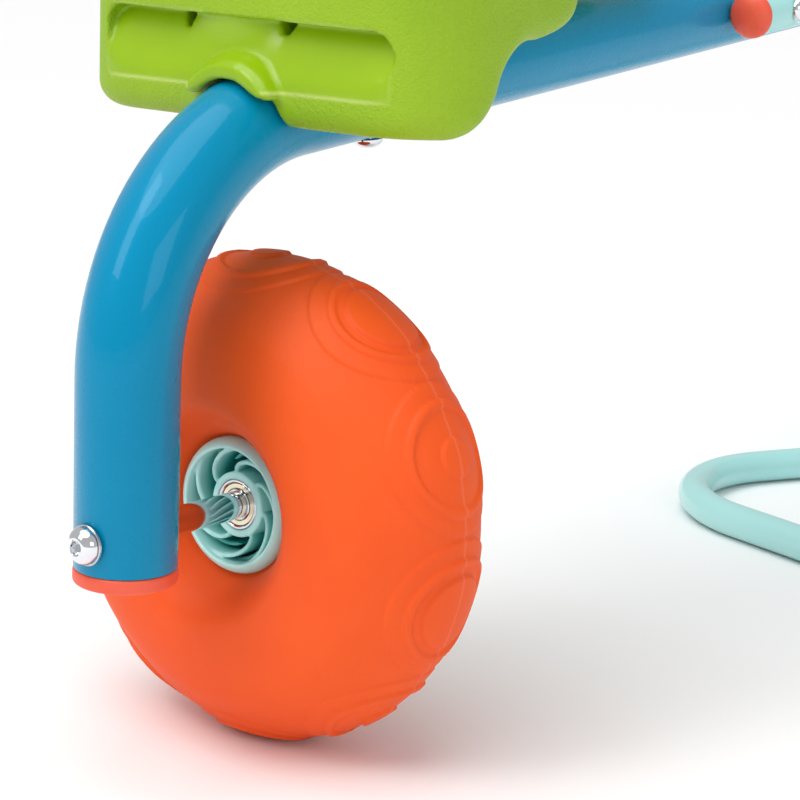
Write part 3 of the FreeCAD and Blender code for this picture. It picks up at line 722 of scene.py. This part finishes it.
def seat():
    step = 1.25
    low = (52.0, -105.0, 256.0)
    long, wide, tall = int((348 - low[0]) / step), int(210 / step) + 1, int((436 - low[2]) / step)
    x, y, z = np.ogrid[0:long, 0:wide, 0:tall]
    x, y, z = low[0] + x * step, low[1] + y * step, low[2] + z * step
    body = both_of(outline_field(seat_side(), x, z), outline_field(seat_plan(), x, y), 11.0)
    # sitting surface, a little hollow from side to side
    body = both_of(body, -np.maximum(np.hypot(y, z - 560.0) - 192.0, 90 - x), 6.0)
    body = both_of(body, -hand_recess(x, y, z), 1.3)
    # collar round the tube where it leaves the end face, then the channel itself
    room = tube_room(x, y, z)
    collar = both_of(both_of(room - 7.0, 51.0 - x, 3.0), x - 80.0, 1.0)
    body = either(body, both_of(collar, 281.0 - z, 3.5), 2.0)
    body = both_of(body, -room, 2.6)
    mesh, verts = skin_of("seat", body, low, step, "lime_plastic")
    # polished recess and collar in a grained skin, and pale flash on the recess's edge
    vx, vy, vz = verts.T
    edge = outline_field(recess_outline(), vy, vz)
    front = np.clip((75 - vx) / 4, 0, 1)
    around_tube = np.clip((35 - np.hypot(vy, vz - 266.0)) / 2, 0, 1)
    mark(mesh, "smooth", np.maximum(np.clip(-edge / 1.5, 0, 1), around_tube) * front)
    flash = np.clip(1.2 - np.abs(edge), 0, 1) * np.clip((62 - vx) / 3, 0, 1) * (np.abs(vy) > 20)
    mark(mesh, "tint", 0.55 * flash)
    return mesh


both_ends("seat", seat(), "beam")


# ---------------------------------------------------------------- handle and fasteners
def handle():
    """A hoop that straddles the beam: two feet along it, bent up and in to the grips."""
    near, far = [], []
    for along, up, side in ((HANDLE_FOOT, 0, HANDLE_SIDE), (-238, 0, HANDLE_SIDE), (-268, 105, HANDLE_SIDE),
                            HANDLE_TOP + (2.6 * HANDLE_SIDE,)):
        near.append(beam_point(along, up, -side))
        far.append(beam_point(along, up, side))
    return tube(near + far[::-1], HANDLE_BENDS, HANDLE_R, TUBE_WALL)


def handle_cap(side):
    """A domed plug in the handle's foot."""
    rim = HANDLE_R + 0.9
    plug_r = HANDLE_R - 1.6
    profile = [(-10, 0), (-10, plug_r), (-0.2, plug_r), (-0.2, HANDLE_R + 0.4), (0.5, rim), (1.6, rim)]
    for k in range(1, 12):
        turn = math.pi / 2 * k / 12
        profile.append((1.6 + 6.6 * math.sin(turn), rim * math.cos(turn)))
    profile.append((8.2, 0))
    return turned(profile, beam_point(HANDLE_FOOT, 0, side * HANDLE_SIDE), -BEAM_DIR)


def handle_grip(side):
    """A ribbed grip with a collar at its inner end."""
    profile = [(0.6, 10.9), (0, 11.6), (0, GRIP_R - 1), (0.8, GRIP_R), (3, GRIP_R), (4, GRIP_R - 0.8)]
    for k in range(9):
        low = 5.0 + 3.2 * k
        profile += [(low, 13.1), (low + 0.5, 12.9), (low + 0.9, 13.1), (low + 1.5, 13.8), (low + 2.4, 13.8)]
    end = GRIP_LENGTH
    profile += [(end - 2, 13.4), (end - 0.6, 12.9), (end, 12.2), (end, 11.4), (end - 0.4, 10.9)]
    return turned(profile, beam_point(*HANDLE_TOP, side * 4), Y * side, 72, closed=True)


def handle_screws():
    """Screws right through both feet and the beam, and their nuts on the far side."""
    reach = HANDLE_SIDE + HANDLE_R
    screws = [button_head(beam_point(along, 0, -reach), -Y, 2 * reach + 8) for along in HANDLE_BOLTS]
    nuts = [hex_nut(beam_point(along, 0, reach), Y, 7) for along in HANDLE_BOLTS]
    return join(screws), join(nuts)


def seat_bolts():
    return join([button_head(beam_point(along, -BEAM_R), -BEAM_UP, 57.0) for along in SEAT_BOLTS])


handle_bolts, handle_nuts = handle_screws()
plain("handle", handle(), "beam", "mint_paint")
plain("handle_caps", join([handle_cap(-1), handle_cap(1)]), "beam", "orange_plastic")
plain("handle_grips", join([handle_grip(-1), handle_grip(1)]), "beam", "orange_plastic")
plain("handle_bolts", handle_bolts, "beam", "bright_steel")
plain("handle_nuts", handle_nuts, "beam", "zinc_steel")
plain("seat_bolts", seat_bolts(), "beam", "bright_steel")


# ---------------------------------------------------------------- floor loops
def hub_side(corner):
    """Where the floor tube that heads for a corner starts at the foot of the post."""
    return Vector((corner.x, corner.y, 0)).normalized() * FOOT_START_R + Z * FOOT_R


def floor_loops():
    route = [hub_side(FOOT_WIDE), FOOT_WIDE, FOOT_TIGHT, hub_side(FOOT_TIGHT)]
    shape = tube(route, FOOT_BENDS, FOOT_R, TUBE_WALL, 56)
    for index in range(2):
        name = "floor_loop_%d" % (index + 1)
        place = Matrix.Rotation(math.pi * index, 4, "Z")
        put(mesh_of(name, *shape, "mint_paint"), place, "base", name)


floor_loops()


# ---------------------------------------------------------------- floor, lights, camera
def floor():
    half = 40
    ground = bpy.data.meshes.new("floor")
    corners = [(-half, -half, 0), (half, -half, 0), (half, half, 0), (-half, half, 0)]
    ground.from_pydata(corners, [], [(0, 1, 2, 3)])
    pale, paler = (0.92, 0.92, 0.92, 1), (0.93, 0.93, 0.93, 1)
    ground.materials.append(finish_of("pale_floor", paler, pale, (0.7, 0.8), 0.6, []))
    made = bpy.data.objects.new("floor", ground)
    made.location.z = -0.0003
    bpy.context.scene.collection.objects.link(made)


def studio_world():
    world = bpy.data.worlds.new("studio")
    world.use_nodes = True
    background = world.node_tree.nodes["Background"]
    background.inputs["Color"].default_value = (1, 1, 1, 1)
    background.inputs["Strength"].default_value = 0.55
    bpy.context.scene.world = world


def soft_light(name, kind, place, target, power, size):
    """An area light of that size in metres, or a sun of that width in degrees."""
    lamp = bpy.data.lights.new(name, kind)
    lamp.energy = power
    if kind == "AREA":
        lamp.shape = "RECTANGLE"
        lamp.size, lamp.size_y = size
    else:
        lamp.angle = math.radians(size)
    made = bpy.data.objects.new(name, lamp)
    made.location = place
    made.rotation_euler = (Vector(target) - Vector(place)).to_track_quat("-Z", "Y").to_euler()
    bpy.context.scene.collection.objects.link(made)


def close_camera():
    """The camera looks at wheel A past its leg, from a little above the wheel."""
    made = bpy.data.objects.new("camera", bpy.data.cameras.new("camera"))
    made.data.sensor_width = 36.0
    made.data.lens = 99.0
    made.data.clip_end = 200.0
    place = Vector((-1.3728, -0.6153, 0.3611))
    ahead = Vector((0.7648, 0.6052, -0.2211)).normalized()
    right = Vector((0.6272, -0.7778, 0.0404))
    right = (right - ahead * right.dot(ahead)).normalized()
    turn = Matrix((right, right.cross(ahead), -ahead)).transposed()
    made.matrix_world = Matrix.Translation(place) @ turn.to_4x4()
    bpy.context.scene.collection.objects.link(made)
    bpy.context.scene.camera = made


floor()
studio_world()
soft_light("sky", "SUN", (-0.9, 0.2, 3.0), (0, 0, 0), 1.8, 55.0)
soft_light("key", "AREA", (-2.3, 0.5, 1.7), (-0.7, 0, 0.2), 14, (0.7, 1.5))
soft_light("front", "AREA", (-1.5, -2.4, 1.0), (-0.6, 0, 0.25), 8, (1.4, 0.9))
close_camera()
bpy.context.scene.view_settings.view_transform = "Standard"
